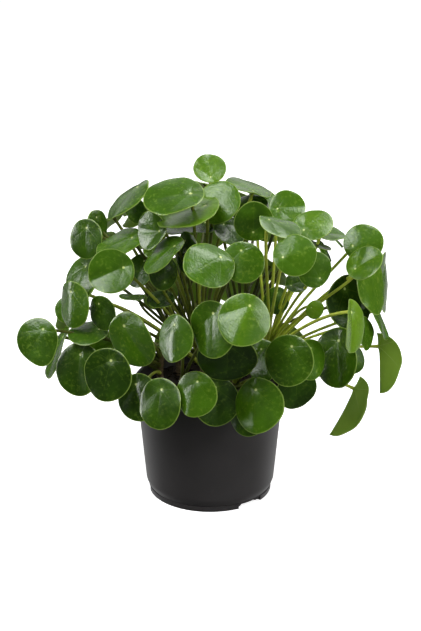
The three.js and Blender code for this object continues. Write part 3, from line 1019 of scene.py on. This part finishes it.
# %% Where a stalk runs
STALK_RADIUS = 1.75
ARCH = 0.12  # how far a stalk bows up, as a share of its length
LEAVING = 0.35  # how far along its chord it is steered by the stem
APPROACH = 26  # length of the turn into the blade, and its longest share of the stalk
APPROACH_SHARE = 0.3
INTO_BLADE = -0.4  # where in the blade's thickness a stalk ends, from -1 below to 1 above


def spot_point(leaf, above):
    """The place over the stalk, in a leaf's blade."""
    return Vector(blade_points(leaf, np.array([SPOT]), np.array([0.0]), np.array([above]))[0])


def stalk_curve(leaf, start):
    """From the stem, bowing upward, and up into the blade's spot from its underside."""
    end = spot_point(leaf, INTO_BLADE)
    normal = leaf["place"].col[2].to_3d()
    chord = end - start
    first = start + chord * LEAVING + UP * ARCH * chord.length
    second = end - normal * min(APPROACH * MM, APPROACH_SHARE * chord.length)

    def at(t):
        near_start = start * (1 - t) ** 3 + first * 3 * t * (1 - t) ** 2
        return near_start + second * 3 * t**2 * (1 - t) + end * t**3

    return at


print("stalk radius", STALK_RADIUS)

# %% A shoot's stalks
STEM_RADIUS = 5
STALK_SUNK = 2  # how deep a stalk starts in its stem
SPREAD = 0.6  # the stalks leave the stem's upper part, this share of it
ROOT_SWELL = 0.7  # how much thicker a stalk is where it starts
END_SWELL = 0.25  # and where it ends
FULL_LENGTH = 60  # from this length of leaf on, stalks have their full radius


def make_stalks(shoot, luck):
    """The higher a leaf stands, the higher on the stem its stalk starts."""
    at, at_share = trunk_curve(shoot["root"], shoot["crown"])
    ranked = sorted(shoot["leaves"], key=lambda leaf: -leaf["place"].translation.z)
    stalks = []
    for rank, leaf in enumerate(ranked):
        start = at_share(1 - SPREAD * (rank + 1) / len(ranked))
        spot = spot_point(leaf, 0.0)
        away = Vector((spot.x - start.x, spot.y - start.y, 0)).normalized()
        start = start + away * (STEM_RADIUS - STALK_SUNK) * MM
        thin = 0.8 + 0.35 * min(1, leaf["length"] / FULL_LENGTH)

        def radius_at(t, angle, thin=thin):
            swelling = 1 + ROOT_SWELL * exp(-t * 18) + END_SWELL * exp((t - 1) * 30)
            return STALK_RADIUS * MM * thin * swelling

        # How much painted light this stalk gets.
        least, more = shoot["painted_stalk_light"]
        light = least + more * luck.random() ** 2
        stalks.append(bend_rod(stalk_rod, stalk_curve(leaf, start), radius_at, light))
    return stalks


print("stalks leave a stem", STEM_RADIUS, "in radius")

# %% [markdown]
# A stem is short and woody. It swells a little at the scars of old leaves, and narrows to a soft top
# where the new ones come. Its foot goes on below the soil, in the hole that the solid soil has.

# %% A shoot's stem
STEM_SUNK = 22
SUNK_SHARE = 0.2  # the share of the rod that is below the soil
TIP_START = 0.93


def make_stem(shoot):
    at, at_share = trunk_curve(shoot["root"], shoot["crown"])
    ground = at(0)

    def whole(t):
        """The part below the soil is straight, and the rest follows the stem's line."""
        if t < SUNK_SHARE:
            return ground - UP * STEM_SUNK * MM * (1 - t / SUNK_SHARE)
        return at((t - SUNK_SHARE) / (1 - SUNK_SHARE))

    def radius_at(t, angle):
        scars = 0.1 * sin(t * 75) * sin(t * 31 + angle) + 0.05 * sin(2 * angle + t * 20)
        tip = sqrt(max(0.02, 1 - max(0, (t - TIP_START) / (1 - TIP_START)) ** 2))
        return (STEM_RADIUS - GAP) * MM * (1 + scars) * (1 - 0.15 * t) * tip

    return bend_rod(stem_rod, whole, radius_at)


print("stems go", STEM_SUNK, "into the soil")

# %% [markdown]
# Each shoot becomes three pieces: its blades, which replace the solid, its stalks and its stem.
# Chance is seeded with the shoot's name, so the plant is the same every time.

# %% Grow the shoots
grown = {}
for name, shoot in shoots.items():
    luck = random.Random(name)
    blades = [make_blade(leaf, luck) for leaf in shoot["leaves"]]
    blades = join_copies(name.replace("shoot", "blades"), blades)
    stalks = join_copies(name.replace("shoot", "stalks"), make_stalks(shoot, luck))
    stem = make_stem(shoot)
    stem.name = name.replace("shoot", "stem")
    grown[name] = (blades, stalks, stem)
    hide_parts(name)
    for piece in grown[name]:
        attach(piece, "root")
    print(name, len(blades.data.polygons), "blade faces")
for master in (master_blade, stalk_rod, stem_rod):
    bpy.data.objects.remove(master)

# %% [markdown]
# The upper side is a deep green with a strong shine. The spot over the stalk is a small pale disc,
# the veins run out from it as faint light lines, and a thin pale line round the rim is a painted
# highlight. A young leaf is lighter and yellower than an old one, and a leaf in the shadow of others
# is painted darker through its tone. All of that follows the blade, so the shader reads the place
# that each point had on the master.

# %% The patterns of a leaf
def leaf_patterns(finish):
    """The values that both sides of a leaf share."""
    along, side = finish.noted("blade")[:2]
    tone, chance = finish.noted("looks")[:2]
    forward = along - SPOT
    from_spot = (forward * forward + side * side) ** 0.5
    turn = finish.sum_of("ARCTAN2", side, forward)
    ray = finish.sum_of("ABSOLUTE", finish.sum_of("SINE", turn * (MAIN_VEINS / 2))) * from_spot
    vein = (1 - finish.ease(ray, 0.0, 0.07)) * (1 - finish.ease(from_spot, 0.5, 1.45))
    reach = (along * along + side * side) ** 0.5
    wrinkle_place = finish.node("CombineXYZ", X=turn * 1.4, Y=from_spot * 4.5, Z=chance * 40)
    return vein, tone, chance, from_spot, reach, wrinkle_place


print("leaf patterns ready")

# %% [markdown]
# Two more things break the green up. Small pale mottles lie in clusters, mostly on young leaves. And
# fine grain, wrinkles that run out from the spot and broad swellings bend the reflections, so the
# blade doesn't look enamelled.

# %% The upper side's finish
vein, tone, chance, from_spot, reach, wrinkle_place = leaf_patterns(leaf_top)
blotch = leaf_top.grain(45, 3.0)
fine = leaf_top.grain(420, 4.0)
clusters = leaf_top.ease(leaf_top.grain(60), 0.3, 0.6)
mottles = leaf_top.ease(leaf_top.grain(250, 3.0), 0.48, 0.76) * clusters
wrinkle = leaf_top.grain(3.0, 4.0, wrinkle_place)
# The tone is partly painted shade, so this value also darkens leaves that lie in the shadow of others.
age_and_shade = tone * 0.8 + chance * 0.15 + (blotch - 0.5) * 0.5
green = leaf_top.mix(leaf_top.ease(age_and_shade, 0.05, 0.55), paint(36, 62, 10), paint(72, 114, 16))
green = leaf_top.mix(leaf_top.ease(age_and_shade, 0.5, 0.95), green, paint(112, 154, 30))
green = leaf_top.mix(mottles * (0.16 + tone * 0.7), green, paint(130, 164, 52))
green = leaf_top.mix(vein * 0.14, green, paint(126, 158, 46))
# A thin pale line round the rim is a painted highlight.
edge = leaf_top.ease(reach, 0.955, 0.99)
green = leaf_top.mix(edge * 0.65, green, paint(160, 190, 86))
spot_mark = 1 - leaf_top.ease(from_spot, 0.03, 0.07)
halo = (1 - leaf_top.ease(from_spot, 0.05, 0.3)) * 0.25
green = leaf_top.mix(halo, green, paint(120, 160, 60))
green = leaf_top.mix(spot_mark * 0.85, green, paint(236, 250, 156))
swell = leaf_top.grain(70, 2.0)
height = fine * 0.3 + wrinkle * 0.4 + swell * 0.5 - vein * 0.1
leaf_top.coat(green, 0.16 + fine * 0.12, height, strength=0.35, depth=0.002)
print("upper side finished")

# %% [markdown]
# The underside is paler and duller, with veins that stand out. The rim is where both sides meet.

# %% The underside's and the rim's finishes
vein = leaf_patterns(leaf_under)[0]
blotch = leaf_under.grain(60, 3.0)
pale = leaf_under.mix(blotch, paint(138, 178, 54), paint(166, 204, 76))
pale = leaf_under.mix(vein * 0.5, pale, paint(186, 214, 104))
leaf_under.coat(pale, 0.55 + blotch * 0.1, blotch + vein * 0.8, strength=0.4, depth=0.001)
blotch = leaf_rim.grain(90, 2.0)
leaf_rim.feed(Base_Color=leaf_rim.mix(blotch, paint(128, 160, 62), paint(152, 180, 84)), Roughness=0.5)
print("underside and rim finished")

# %% [markdown]
# Stalks are fleshy, and their colour goes from dark to yellow-green with their painted light. The
# dark ones also get painted shade near the stem. The stem itself is grey-brown and dull.

# %% The stalks' and stems' finishes
stalk_finish = Finish("leaf_stalk", Specular_IOR_Level=0.3)
light, way = stalk_finish.noted("looks")[1:]
streak = stalk_finish.grain(160, 3.0)
# The colour runs with the stalk's painted light, from dark to yellow-green.
flesh = stalk_finish.mix(light, paint(36, 54, 14), paint(232, 248, 92))
flesh = stalk_finish.mix(streak * 0.3, flesh, paint(170, 170, 74))
# Painted shade: a dark stalk is darker still near the stem, deep inside the plant.
painted_inner_shade = (1 - stalk_finish.ease(way, 0.0, 0.35)) * (1 - light)
flesh = stalk_finish.mix(painted_inner_shade * 0.7, flesh, paint(42, 48, 14))
stalk_finish.coat(flesh, 0.42 + streak * 0.15, streak, strength=0.3, depth=0.0005)
stem_finish = Finish("woody_stem", Specular_IOR_Level=0.25)
bark = stem_finish.grain(260, 5.0)
wood = stem_finish.mix(bark, paint(58, 47, 32), paint(122, 106, 78))
stem_finish.coat(wood, 0.8 + bark * 0.1, bark, strength=0.7, depth=0.0012)
for blades, stalks, stem in grown.values():
    stalks.data.materials.append(stalk_finish.material)
    stem.data.materials.append(stem_finish.material)
print("stalks and stems finished")
